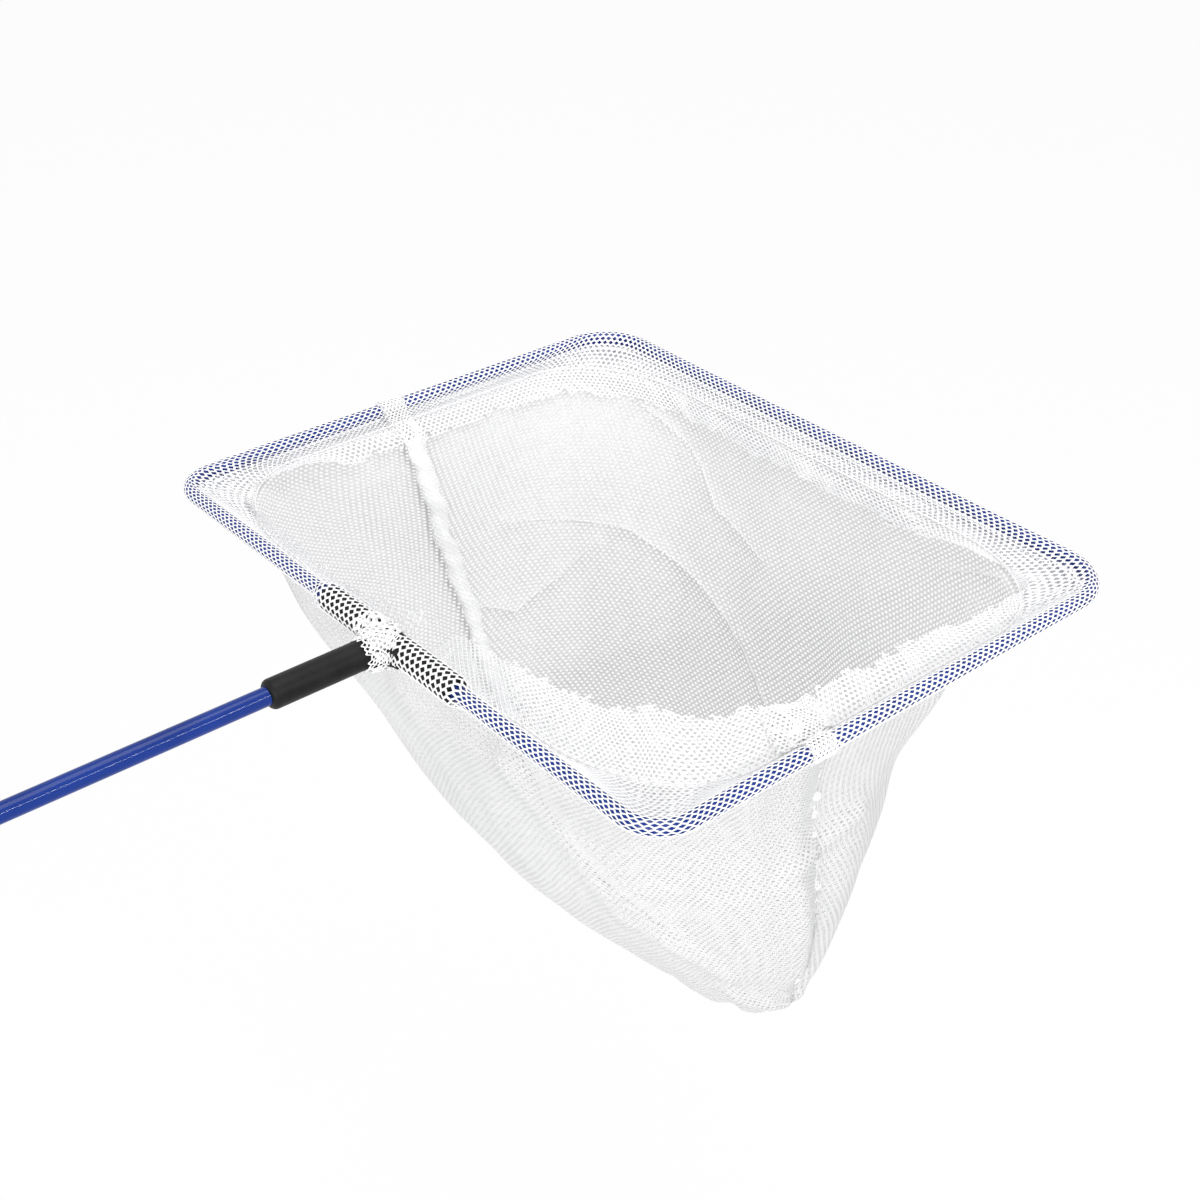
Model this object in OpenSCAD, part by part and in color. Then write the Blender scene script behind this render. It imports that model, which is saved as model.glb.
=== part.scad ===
// Aquarium fish net: a coated wire hoop and a coated rod joined by a moulded tee, with a two-panel net bag
// The origin is the centre of the hanging hole; +X runs along the handle to the net, +Z out of the mouth

/* [Hoop] */
// Length of the hoop across the handle, between wire centres
hoop_length = 250; // [215:1:290]
// Width of the hoop along the handle, between wire centres
hoop_width = 201; // [180:1:230]
// Distance from the handle's axis to the hoop's middle, toward the left
hoop_offset = 4; // [0:0.5:8]
// Bend radius of the two corners beside the handle
near_corner_r = 13; // [9:1:20]
// Bend radius of the two far corners
far_corner_r = 19; // [9:1:24]
// Diameter of the hoop's steel wire
wire_d = 3.6; // [2.6:0.1:4.2]
// Wall of the plastic coating on the hoop wire
wire_coat = 0.8; // [0.5:0.1:1.2]

/* [Handle] */
// Reach from the hanging hole to the near side of the hoop
reach = 252; // [180:1:420]
// Diameter of the handle's steel rod
rod_d = 4.8; // [3.6:0.1:5.4]
// Wall of the plastic coating on the rod
rod_coat = 0.6; // [0.4:0.1:0.9]

/* [Tee] */
// Length of the tee's crossbar
crossbar_length = 68; // [56:1:80]
// Diameter of the tee's crossbar
crossbar_d = 9; // [8.2:0.1:10]
// Length of the tee's stem, from the hoop wire's centre
stem_length = 44; // [36:1:56]
// Diameter of the tee's stem
stem_d = 9.6; // [9:0.1:11]
// Depth of the handle rod in the stem
rod_seat = 34; // [24:1:35]
// Solid length between the two ends of the hoop wire in the crossbar
wire_stop = 8; // [5:0.5:12]
// Radius of the rounded ends of the stem and the crossbar
tee_round = 2; // [0.8:0.1:2]
// Radius of the fillet between the stem and the crossbar
gusset_r = 5; // [3:0.5:7]
// Thickness of the tee's fillet
gusset_t = 6; // [3:0.5:8]

/* [End cap] */
// Diameter of the hanging hole
hang_hole_d = 5.5; // [4:0.5:6]
// Width of the rim round the hanging hole
eye_rim = 3.4; // [2.5:0.1:4.5]
// Thickness of the hanging eye
eye_t = 4; // [3:0.5:6]
// Outer diameter of the cap's socket
socket_d = 9.2; // [8.8:0.1:11]
// Length of the cap's socket on the rod
socket_length = 22; // [14:1:34]
// Distance from the hanging hole to the socket's closed end
socket_x = 13; // [11.5:0.5:18]
// Thickness of the socket's closed end
socket_floor = 3; // [2:0.5:5]

/* [Bag] */
// Depth of the bag, from the hoop's centre plane
bag_depth = 199; // [170:1:225]
// Wall of the coarse lattice that stands for the knitted net
net_wall = 0.6; // [0.5:0.1:0.8]
// Shift of the left side seam from the hoop's middle, toward the handle
left_seam_shift = 11; // [0:1:24]
// Shift of the right side seam from the hoop's middle, toward the handle
right_seam_shift = 39; // [26:1:46]
// Radius of the gathered seam allowance at the mouth
seam_r = 2.2; // [1.6:0.1:2.8]
// Radius of the gathered seam allowance at the bottom
seam_tail_r = 1.1; // [0.7:0.1:1.5]

/* [Hem] */
// Thickness of the folded net round the wire
sleeve_wall = 0.35; // [0.3:0.05:0.6]
// Depth below the mouth to which the allowance hangs along the left and far walls
hem_depth = 15; // [13:1:20]
// Reach of the allowance into the mouth on the near and right sides, from the wire's centre
hem_reach = 24; // [21:1:28]
// Distance of that level allowance's cut edge below the wire's centre
hem_drop = 2.5; // [1:0.5:4]
// Depth of the points in the allowance's ragged cut edge
hem_fray = 1.2; // [0.4:0.1:1.8]
// Depth of the stitch line below the mouth
stitch_depth = 2; // [1.5:0.5:3]
// Diameter of the sewing thread
thread_d = 0.6; // [0.4:0.1:0.8]
// Length along the wire of each overlap of the hems
overlap_length = 11; // [7:1:14]
// Depth of the tacked patch below each overlap
patch_depth = 12; // [9:1:12]
// Length of the net gathered on the tee's stem
gather_length = 6; // [4:1:12]

/* [Hidden] */

// Clearance between rigid pieces that fit in each other
fit_gap = 0.05;
// Clearance between layers of net
net_gap = 0.3;
// Clearance between the folded net and the coated wire
sleeve_gap = 0.05;
// Gap between the two panels along their seams
seam_gap = 0.3;
// Overrun of every cut
cut_over = 1;

coated_wire_r = wire_d/2 + wire_coat;
coated_rod_r = rod_d/2 + rod_coat;
sleeve_r = coated_wire_r + sleeve_gap + sleeve_wall;
arm_sleeve_r = crossbar_d/2 + sleeve_gap + sleeve_wall;
hoop_x = reach + hoop_width/2;
far_x = reach + hoop_width;
left_y = hoop_offset + hoop_length/2;
right_y = hoop_offset - hoop_length/2;
arm = crossbar_length/2;
left_seam_x = hoop_x - left_seam_shift;
right_seam_x = hoop_x - right_seam_shift;
hem_slit = stem_d/2 + net_gap;
arm_taper = arm_sleeve_r - sleeve_r + wire_d;
rod_start = socket_x + socket_floor;
rod_end = reach - stem_length + rod_seat;

// The bag's mouth lies a little inside the wire and just under its sleeve
mouth_inset = sleeve_r/2;
mouth_half_x = hoop_width/2 - mouth_inset;
mouth_half_y = hoop_length/2 - mouth_inset;
wire_drop = sqrt(pow(sleeve_r + sleeve_wall + net_gap + net_wall, 2) - pow(mouth_inset, 2));
arm_drop = arm_sleeve_r + 2*net_gap + net_wall;
// Half the angle of the mouth, seen from its middle, that lies under the tee's crossbar
arm_half_angle = 25;

// Each row is one level of the bag: its share of the depth, the reach toward the handle, the far side, the
// left and the right as shares of the half mouth, and its corners' roundness as a share of the level
bag_row_shares = [
  [0.000, 1.00, 1.00, 1.00, 1.00, 0.19],
  [0.010, 0.94, 0.94, 0.99, 0.95, 0.44],
  [0.050, 0.94, 0.93, 0.96, 0.92, 0.50],
  [0.120, 0.93, 0.91, 0.92, 0.87, 0.62],
  [0.280, 0.80, 0.82, 0.85, 0.80, 0.82],
  [0.450, 0.68, 0.74, 0.75, 0.79, 0.92],
  [0.620, 0.49, 0.65, 0.66, 0.74, 0.92],
  [0.800, 0.21, 0.52, 0.54, 0.65, 0.92],
  [0.930, 0.00, 0.41, 0.40, 0.54, 0.94],
  [0.980, -0.13, 0.36, 0.10, 0.43, 0.96],
  [1.000, -0.30, 0.30, -0.31, 0.31, 1.00]
];
last_row = len(bag_row_shares) - 1;
// Directions of the net's columns within a quarter of the mouth, closer together at its corner
quarter_angles = [0, 12, 22, 30, 36, 41, 45, 49, 54, 60, 68, 78];
// Levels of the net's rows, in rows of the table above: the closed rim, the hexagons and the closed bottom
rim_levels = [0, 0.5, 1];
mesh_levels = [1.7, 2.7, 3.5, 4.2, 4.9, 5.6, 6.3, 7, 7.7, 8.3];
bottom_levels = [8.7, 9.1, 9.5, last_row];
// Size of each opening as a share of its cell, and the zigzag of the cells' rows as a share of their height
opening_share = 0.8;
zigzag_share = 0.16;
// Row at which the seams have come round to the middle of the bag's sides, and how fast they do
seam_fade_row = 6;
seam_fade_power = 1.4;
// Rows above the bottom at which the seam allowance ends
seam_tail_rows = 0.6;
// Gathers along each seam, and their height as a share of its radius
seam_gathers = 17;
gather_share = 0.16;
// Pleats round the stem, their height as a share of the radius, and the radius from the tail to the root
stem_pleats = 9;
pleat_share = 0.1;
flare_shares = [1, 1.02, 1.1, 1.2];
// First and last direction of each patch
left_patch_angles = [85, 94];
right_patch_angles = [258, 274];
// Directions between which the allowance turns from hanging to level, and from level back to hanging
level_from_angles = [100, 128];
level_to_angles = [318, 342];
// Roundness of the level allowance's cut edge
hem_round_share = 0.8;
// Direction from the wire in which the hem leaves it, and how much lower that is on the left
hem_leave_angle = 43;
left_leave_turn = 53;
// Place of the stitching on the allowance, just past its valley
thread_share = 0.1;
// Places of the allowance's rows between the stitch line and its cut edge
hem_row_shares = [0, 0.35, 0.7, 1];
patch_row_shares = [0.2, 0.4, 0.6, 0.8, 1];
tube_sides = 8;

function row_at(k) = bag_row_shares[max(0, min(last_row, k))];
function spline(a, b, c, d, f) = b + 0.5*f*((c - a) + f*((2*a - 5*b + 4*c - d) + f*(3*(b - c) + d - a)));
function bag_row(level) =
  let(k = min(floor(level), last_row - 1))
  spline(row_at(k - 1), row_at(k), row_at(k + 1), row_at(k + 2), level - k);

// Turn of the seams toward the handle, in degrees, which fades out down the bag
function seam_turn(shift, level) =
  atan(shift/mouth_half_x)*pow(max(0, 1 - level/seam_fade_row), seam_fade_power);
function near_axis(angle, axis) = max(0, 1 - abs((angle - axis + 540)%360 - 180)/45);
function net_angle(angle, level) =
  angle + seam_turn(left_seam_shift, level)*near_axis(angle, 90)
        - seam_turn(right_seam_shift, level)*near_axis(angle, 270);

// Distance from the middle of a unit square with rounded corners to its edge, in the direction c, s
function rounded_square(c, s, round) =
  let(long = max(abs(c), abs(s)), short = min(abs(c), abs(s)), k = 1 - round, reach_in = k*(long + short))
  short <= k*long ? 1/long : reach_in + sqrt(pow(reach_in, 2) - 2*k*k + round*round);

// Under the tee's crossbar the mouth's edge is lower
function rim_drop(angle) = abs(angle - 180) < arm_half_angle ? arm_drop : wire_drop;
function net_point(angle, level) =
  let(row = bag_row(level))
  let(turned = net_angle(angle, level))
  let(c = cos(turned), s = sin(turned))
  let(r = rounded_square(c, s, row[5]))
  let(handle_side = -row[1]*mouth_half_x, far_side = row[2]*mouth_half_x)
  let(left = row[3]*mouth_half_y, right = -row[4]*mouth_half_y)
  [hoop_x + (far_side + handle_side)/2 + (far_side - handle_side)/2*r*c,
   hoop_offset + (left + right)/2 + (left - right)/2*r*s,
   -rim_drop(angle) - (bag_depth - rim_drop(angle))*row[0]];

function unit(v) = v/norm(v);
// Steps over which the net's slope is measured
angle_probe = 2;
level_probe = 0.05;
function slope_down(angle, level) =
  net_point(angle, min(last_row, level + level_probe)) - net_point(angle, max(0, level - level_probe));
function slope_round(angle, level) =
  net_point(angle + angle_probe, level) - net_point(angle - angle_probe, level);
function inward(angle, level) =
  level > last_row - level_probe ? [0, 0, 1]
                                 : unit(cross(slope_round(angle, level), slope_down(angle, level)));
function layer_point(angle, level, inset) = net_point(angle, level) + inset*inward(angle, level);
// Level at which the net lies a given depth below its mouth
function level_of(depth) = lookup(depth/bag_depth, [for (k = [0:last_row]) [bag_row_shares[k][0], k]]);

function angles_between(first, last) =
  [for (turn = [-90:90:360]) for (step = quarter_angles)
     if (turn + step >= first && turn + step <= last) turn + step];

// A smooth step, and how level the allowance lies: 0 hanging, 1 level
function ease(x, low, high) = let(t = max(0, min(1, (x - low)/(high - low)))) t*t*(3 - 2*t);
function level_share(angle) =
  let(turn = (angle + 360)%360)
  ease(turn, level_from_angles[0], level_from_angles[1])
    *(1 - ease(turn, level_to_angles[0], level_to_angles[1]));
// A point of the wire's own outline, moved into the mouth
function ring_point(angle, inset, round_share, z) =
  let(turned = net_angle(angle, 1), c = cos(turned), s = sin(turned), r = rounded_square(c, s, round_share))
  [hoop_x + (hoop_width/2 - inset)*r*c, hoop_offset + (hoop_length/2 - inset)*r*s, z];
// The hem leaves the sleeve round the wire or the crossbar
function hem_start(angle, lift) =
  let(r = (abs(angle - 180) < arm_half_angle ? arm_sleeve_r : sleeve_r) + 2*net_gap + lift)
  let(leave = hem_leave_angle - left_leave_turn*ease(near_axis(angle, 90), 0, 1/3))
  ring_point(angle, r*cos(leave), bag_row_shares[0][5], r*sin(leave));
// From the stitch line at share 0 to the cut edge at share 1
function hem_point(angle, share, inset, fray = 0) =
  let(hanging = layer_point(angle, level_of(stitch_depth + (hem_depth - fray - stitch_depth)*share), inset))
  let(stitch = layer_point(angle, level_of(stitch_depth), inset))
  let(edge = ring_point(angle, hem_reach - fray, hem_round_share, inset - band_out - hem_drop))
  let(level = stitch + (edge - stitch)*share, part = level_share(angle))
  hanging*(1 - part) + level*part;

// Faces of a shell between an outer and an inner grid of points, which may end in one point
function grid_index(i, j, rows, cols, pole, base) = base + (pole && i == rows - 1 ? i*cols : i*cols + j);
function two_triangles(a, b, c, d) =
  [if (a != b && b != c && a != c) [a, b, c], if (a != c && c != d && a != d) [a, c, d]];
function shell_faces(rows, cols, pole, open = function (i, j) false) =
  let(size = pole ? (rows - 1)*cols + 1 : rows*cols)
  let(at = function (i, j, side) grid_index(i, j, rows, cols, pole, side*size))
  [for (i = [0:rows - 2]) for (j = [0:cols - 2]) if (!open(i, j))
     each two_triangles(at(i, j, 0), at(i, j + 1, 0), at(i + 1, j + 1, 0), at(i + 1, j, 0)),
   for (i = [0:rows - 2]) for (j = [0:cols - 2]) if (!open(i, j))
     each two_triangles(at(i, j, 1), at(i + 1, j, 1), at(i + 1, j + 1, 1), at(i, j + 1, 1)),
   for (j = [0:cols - 2]) each two_triangles(at(0, j, 0), at(0, j, 1), at(0, j + 1, 1), at(0, j + 1, 0)),
   if (!pole) for (i = [rows - 1], j = [0:cols - 2])
     each two_triangles(at(i, j + 1, 0), at(i, j + 1, 1), at(i, j, 1), at(i, j, 0)),
   for (i = [0:rows - 2]) each two_triangles(at(i, 0, 0), at(i + 1, 0, 0), at(i + 1, 0, 1), at(i, 0, 1)),
   for (i = [0:rows - 2], j = [cols - 1])
     each two_triangles(at(i, j, 1), at(i + 1, j, 1), at(i + 1, j, 0), at(i, j, 0))];
// The points of a grid whose last row meets in one point
function grid_points(rows) =
  [for (i = [0:len(rows) - 1]) each (i == len(rows) - 1 ? [rows[i][0]] : rows[i])];

module shell(outer, inner)
  polyhedron(points = [each each outer, each each inner],
             faces = shell_faces(len(outer), len(outer[0]), false), convexity = 8);

// A tube swept along a path: side is the direction in which each ring starts
function ring_points(centre, along, side, r) =
  let(n = unit(side - (side*unit(along))*unit(along)), b = cross(unit(along), n))
  [for (k = [0:tube_sides - 1]) centre + r*(cos(360*k/tube_sides)*n + sin(360*k/tube_sides)*b)];
function tube_faces(rings, closed) =
  [for (i = [0:rings - (closed ? 1 : 2)]) for (k = [0:tube_sides - 1])
     let(a = i*tube_sides + k, b = i*tube_sides + (k + 1)%tube_sides)
     let(c = (i + 1)%rings*tube_sides + (k + 1)%tube_sides, d = (i + 1)%rings*tube_sides + k)
     each [[a, c, b], [a, d, c]],
   if (!closed) [for (k = [0:tube_sides - 1]) k],
   if (!closed) [for (k = [tube_sides - 1:-1:0]) (rings - 1)*tube_sides + k]];
module swept_tube(centres, sides, radii, closed = false) {
  last = len(centres) - 1;
  rings = [for (i = [0:last])
    let(before = closed ? centres[(i + last)%(last + 1)] : centres[max(0, i - 1)])
    let(after = closed ? centres[(i + 1)%(last + 1)] : centres[min(last, i + 1)])
    each ring_points(centres[i], after - before, sides[i], radii[i])];
  polyhedron(points = rings, faces = tube_faces(last + 1, closed), convexity = 8);
}

// A round bar or tube along +Z
module bar(length, r_out, r_in = 0)
  difference() {
    cylinder(r = r_out, h = length, $fn = 48);
    if (r_in > 0) translate([0, 0, -cut_over]) cylinder(r = r_in, h = length + 2*cut_over, $fn = 48);
  }
module bar_x(x_from, x_to, y, r_out, r_in = 0)
  translate([x_from, y, 0]) rotate([0, 90, 0]) bar(x_to - x_from, r_out, r_in);
module bar_y(y_from, y_to, x, r_out, r_in = 0)
  translate([x, y_from, 0]) rotate([-90, 0, 0]) bar(y_to - y_from, r_out, r_in);
module bend(x, y, bend_r, start, r_out, r_in = 0)
  translate([x, y, 0]) rotate([0, 0, start]) rotate_extrude(angle = 90, $fn = 96) translate([bend_r, 0])
    difference() {
      circle(r = r_out, $fn = 48);
      if (r_in > 0) circle(r = r_in, $fn = 48);
    }

// The four corners and the runs between them, at any radius round the wire's centre line
module near_left(y_from, x_to, r_out, r_in = 0) {
  bar_y(y_from, left_y - near_corner_r, reach, r_out, r_in);
  bend(reach + near_corner_r, left_y - near_corner_r, near_corner_r, 90, r_out, r_in);
  bar_x(reach + near_corner_r, x_to, left_y, r_out, r_in);
}
module near_right(y_from, x_to, r_out, r_in = 0) {
  bar_y(right_y + near_corner_r, y_from, reach, r_out, r_in);
  bend(reach + near_corner_r, right_y + near_corner_r, near_corner_r, 180, r_out, r_in);
  bar_x(reach + near_corner_r, x_to, right_y, r_out, r_in);
}
module far_loop(left_from, right_from, r_out, r_in = 0) {
  bar_x(left_from, far_x - far_corner_r, left_y, r_out, r_in);
  bend(far_x - far_corner_r, left_y - far_corner_r, far_corner_r, 0, r_out, r_in);
  bar_y(right_y + far_corner_r, left_y - far_corner_r, far_x, r_out, r_in);
  bend(far_x - far_corner_r, right_y + far_corner_r, far_corner_r, 270, r_out, r_in);
  bar_x(right_from, far_x - far_corner_r, right_y, r_out, r_in);
}
module wire_loop(r_out, r_in = 0) {
  near_left(wire_stop/2, hoop_x, r_out, r_in);
  near_right(-wire_stop/2, hoop_x, r_out, r_in);
  far_loop(hoop_x, hoop_x, r_out, r_in);
}

module handle_core()
  color("silver") bar_x(rod_start + fit_gap, rod_end, 0, rod_d/2);

module handle_coating()
  color("royalblue") bar_x(rod_start + fit_gap, rod_end, 0, coated_rod_r, rod_d/2 + fit_gap);

module hoop_core()
  color("silver") wire_loop(wire_d/2);

module hoop_coating()
  color("royalblue") wire_loop(coated_wire_r, wire_d/2 + fit_gap);

// A rod's outline from its axis outward, with its far end rounded
module rounded_profile(length, r, round_r) {
  square([r - round_r, length]);
  square([r, length - round_r]);
  translate([r - round_r, length - round_r]) circle(r = round_r, $fn = 48);
}
module rounded_bar(length, r, round_r)
  rotate_extrude($fn = 64) rounded_profile(length, r, round_r);

module gusset()
  difference() {
    square([stem_d/2 + gusset_r, crossbar_d/2 + gusset_r]);
    translate([stem_d/2 + gusset_r, crossbar_d/2 + gusset_r]) circle(r = gusset_r, $fn = 64);
  }

module tee_connector()
  color("black") difference() {
    union() {
      translate([reach, 0, 0]) rotate([0, -90, 0]) rounded_bar(stem_length, stem_d/2, tee_round);
      translate([reach, 0, 0]) rotate([-90, 0, 0]) rounded_bar(arm, crossbar_d/2, tee_round);
      translate([reach, 0, 0]) rotate([90, 0, 0]) rounded_bar(arm, crossbar_d/2, tee_round);
      for (side = [0, 1]) mirror([0, side, 0])
        translate([reach, 0, -gusset_t/2]) rotate([0, 0, 90]) linear_extrude(gusset_t) gusset();
    }
    bar_x(reach - stem_length - cut_over, rod_end + fit_gap, 0, coated_rod_r + fit_gap);
    bar_y(wire_stop/2 - fit_gap, arm + cut_over, reach, coated_wire_r + fit_gap);
    bar_y(-arm - cut_over, -wire_stop/2 + fit_gap, reach, coated_wire_r + fit_gap);
  }

module end_cap() {
  eye_r = hang_hole_d/2 + eye_rim;
  color("black") difference() {
    union() {
      translate([0, 0, -eye_t/2]) cylinder(r = eye_r, h = eye_t, $fn = 64);
      hull() {
        translate([eye_r - eye_rim/2, -socket_d/2, -eye_t/2]) cube([eye_rim/2, socket_d, eye_t]);
        translate([socket_x, 0, 0]) rotate([0, 90, 0]) cylinder(r = socket_d/2, h = eye_rim/2, $fn = 32);
      }
      translate([socket_x, 0, 0]) rotate([0, 90, 0])
        rounded_bar(socket_floor + socket_length, socket_d/2, tee_round/2);
    }
    cylinder(r = hang_hole_d/2, h = socket_d + cut_over, center = true, $fn = 64);
    bar_x(rod_start, rod_start + socket_length + cut_over, 0, coated_rod_r + fit_gap);
  }
}

// A panel of the bag with hexagonal openings in a brick pattern, each over two of its columns
module net_panel(first, last) {
  angles = angles_between(first, last);
  levels = concat(rim_levels, mesh_levels, bottom_levels);
  rows = len(levels);
  cols = len(angles);
  top = len(rim_levels);
  bottom = top + len(mesh_levels) - 1;
  zigzag = function (i, j) i > top && i < bottom
    ? zigzag_share*(levels[i + 1] - levels[i - 1])/2*((i - top + j)%2 == 0 ? 1 : -1) : 0;
  place = function (i, j) [angles[j], levels[i] + zigzag(i, j)];
  // A cell is named by its row and the column through its middle
  cells = [for (i = [top:bottom - 1]) for (j = [1:cols - 2]) if ((i - top + j)%2 == 1) [i, j]];
  in_cell = function (i, j)
    let(middle = (i - top + j)%2 == 1 ? j : j + 1)
    i >= top && i < bottom && middle >= 1 && middle <= cols - 2;
  corners = function (cell)
    [for (step = [[0, -1], [0, 0], [0, 1], [1, 1], [1, 0], [1, -1]]) cell + step];
  grid = function (inset)
    [for (i = [0:rows - 1]) [for (j = [0:cols - 1]) layer_point(place(i, j)[0], place(i, j)[1], inset)]];
  openings = function (inset) [for (cell = cells)
    let(middle = (place(cell[0], cell[1]) + place(cell[0] + 1, cell[1]))/2)
    for (corner = corners(cell))
      let(spot = middle + opening_share*(place(corner[0], corner[1]) - middle))
      layer_point(spot[0], spot[1], inset)];
  size = (rows - 1)*cols + 1;
  edge = function (n, k, side) 2*size + (side*len(cells) + n)*6 + k%6;
  cell_faces = [for (n = [0:len(cells) - 1]) let(c = corners(cells[n])) for (k = [0:5])
    let(a = c[k][0]*cols + c[k][1], b = c[(k + 1)%6][0]*cols + c[(k + 1)%6][1])
    each concat(two_triangles(a, b, edge(n, k + 1, 0), edge(n, k, 0)),
                two_triangles(size + a, edge(n, k, 1), edge(n, k + 1, 1), size + b),
                two_triangles(edge(n, k, 0), edge(n, k + 1, 0), edge(n, k + 1, 1), edge(n, k, 1)))];
  polyhedron(points = concat(grid_points(grid(0)), grid_points(grid(net_wall)),
                             openings(0), openings(net_wall)),
             faces = concat(shell_faces(rows, cols, true, in_cell), cell_faces), convexity = 8);
}

module bag_handle_side()
  color("white") translate([-seam_gap/2, 0, 0]) net_panel(90, 270);

module bag_far_side()
  color("white") translate([seam_gap/2, 0, 0]) net_panel(-90, 90);

band_out = net_wall + net_gap;
band_in = band_out + net_wall;
patch_out = band_in + net_gap;
patch_in = patch_out + net_wall;

// The hem runs from its sleeve down to the stitch line and on as the allowance, whose cut edge is ragged
module hem_band(first, last) {
  angles = concat([first], angles_between(first + 1, last - 1), [last]);
  grid = function (inset) concat(
    [[for (angle = angles) hem_start(angle, inset - band_out)]],
    [for (share = hem_row_shares)
      [for (i = [0:len(angles) - 1]) hem_point(angles[i], share, inset, share < 1 ? 0 : hem_fray*(i%2))]]);
  shell(grid(band_out), grid(band_in));
}

module arm_sleeve(side)
  translate([reach, 0, 0]) rotate([side > 0 ? -90 : 90, 0, 0]) rotate_extrude($fn = 64)
    polygon([[arm_sleeve_r - sleeve_wall, hem_slit], [arm_sleeve_r, hem_slit], [arm_sleeve_r, arm],
             [sleeve_r, arm + arm_taper], [sleeve_r - sleeve_wall, arm + arm_taper],
             [arm_sleeve_r - sleeve_wall, arm]]);

module hem_handle_left()
  color("white") {
    arm_sleeve(1);
    near_left(arm + arm_taper, left_seam_x - overlap_length/2 - net_gap,
              sleeve_r, sleeve_r - sleeve_wall);
    hem_band(93, 177);
  }

module hem_handle_right()
  color("white") {
    arm_sleeve(-1);
    near_right(-arm - arm_taper, right_seam_x - overlap_length/2 - net_gap,
               sleeve_r, sleeve_r - sleeve_wall);
    hem_band(183, 267);
  }

module hem_far()
  color("white") {
    far_loop(left_seam_x + overlap_length/2 + net_gap, right_seam_x + overlap_length/2 + net_gap,
             sleeve_r, sleeve_r - sleeve_wall);
    hem_band(-87, 87);
  }

// Each overlap is a doubled sleeve on the wire and a tacked patch that lies on the allowance
module hem_overlap(seam_x, y, patch_angles) {
  bar_x(seam_x - overlap_length/2, seam_x + overlap_length/2, y,
        sleeve_r + sleeve_wall, sleeve_r - sleeve_wall);
  patch = function (inset) [for (share = patch_row_shares)
    [for (step = [0:0.125:1])
      let(angle = patch_angles[0] + (patch_angles[1] - patch_angles[0])*step)
      hem_point(angle, share*patch_depth/hem_depth, inset)]];
  shell(patch(patch_out), patch(patch_in));
}
module hem_overlap_left()
  color("white") hem_overlap(left_seam_x, left_y, left_patch_angles);
module hem_overlap_right()
  color("white") hem_overlap(right_seam_x, right_y, right_patch_angles);

// The rolled and gathered seam allowance runs down inside the bag from below the patch to the bottom
module side_seam(seam_angle) {
  first = level_of(hem_depth + 2*net_gap);
  last = last_row - seam_tail_rows;
  steps = [for (share = [0:1/44:1]) first + (last - first)*share];
  radius = function (level) (seam_r + (seam_tail_r - seam_r)*level/last_row)
    *(1 + gather_share*sin(360*seam_gathers*level/last_row));
  lift = function (level) net_wall + 3*net_gap + radius(level)*(1 + gather_share);
  swept_tube([for (level = steps) layer_point(seam_angle, level, lift(level))],
             [for (level = steps) inward(seam_angle, level)],
             [for (level = steps) radius(level)]);
}
module side_seam_left()
  color("white") side_seam(90);
module side_seam_right()
  color("white") side_seam(270);

// A closed ring of net between two stacks of rings
module closed_sleeve(inner, outer) {
  rows = len(inner);
  cols = len(inner[0]);
  last = rows - 1;
  at = function (i, j, side) side*rows*cols + i*cols + j%cols;
  faces = [
    for (i = [0:last - 1]) for (j = [0:cols - 1])
      each two_triangles(at(i, j, 0), at(i, j + 1, 0), at(i + 1, j + 1, 0), at(i + 1, j, 0)),
    for (i = [0:last - 1]) for (j = [0:cols - 1])
      each two_triangles(at(i, j, 1), at(i + 1, j, 1), at(i + 1, j + 1, 1), at(i, j + 1, 1)),
    for (j = [0:cols - 1]) each two_triangles(at(0, j, 0), at(0, j, 1), at(0, j + 1, 1), at(0, j + 1, 0)),
    for (j = [0:cols - 1])
      each two_triangles(at(last, j + 1, 0), at(last, j + 1, 1), at(last, j, 1), at(last, j, 0))];
  polyhedron(points = [each each inner, each each outer], faces = faces, convexity = 8);
}

// The net is drawn together in pleats round the root of the stem
module hem_gather() {
  root_x = reach - arm_sleeve_r - net_gap;
  inner_r = stem_d/2 + net_gap;
  last = len(flare_shares) - 1;
  turns = [for (k = [0:8*stem_pleats - 1]) 360*k/(8*stem_pleats)];
  ring = function (station, wall) [for (turn = turns)
    let(pleat = 1 + pleat_share*(1 + cos(stem_pleats*turn))/2)
    let(r = (inner_r + wall)*flare_shares[station]*pleat)
    [root_x - gather_length*(1 - station/last), r*cos(turn), r*sin(turn)]];
  color("white") closed_sleeve([for (station = [0:last]) ring(station, 0)],
                               [for (station = [0:last]) ring(station, net_wall)]);
}

// The stitch line runs round in the valley between the hem and its allowance
module hem_thread() {
  angles = angles_between(-90, 269);
  lift = 2*net_gap + thread_d/2;
  off = function (angle) unit(inward(angle, level_of(stitch_depth))*(1 - level_share(angle))
                              + [0, 0, 1]*level_share(angle));
  color("white") swept_tube([for (angle = angles) hem_point(angle, thread_share, band_in) + lift*off(angle)],
                            [for (angle = angles) off(angle)],
                            [for (angle = angles) thread_d/2], closed = true);
}

handle_core();
handle_coating();
end_cap();
tee_connector();
hoop_core();
hoop_coating();
bag_handle_side();
bag_far_side();
side_seam_left();
side_seam_right();
hem_handle_left();
hem_handle_right();
hem_far();
hem_overlap_left();
hem_overlap_right();
hem_gather();
hem_thread();
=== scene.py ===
"""Aquarium fish net in Blender: hexagonal netting laid over the CAD frame.

The net's lengths are in millimetres until mesh_piece() turns them into metres. The camera, the lamps and the
floor are in metres. The bag's surface is made from the same rows as the one in part.scad.
"""
import math

import bpy
import numpy as np
from mathutils import Matrix, Vector


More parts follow.
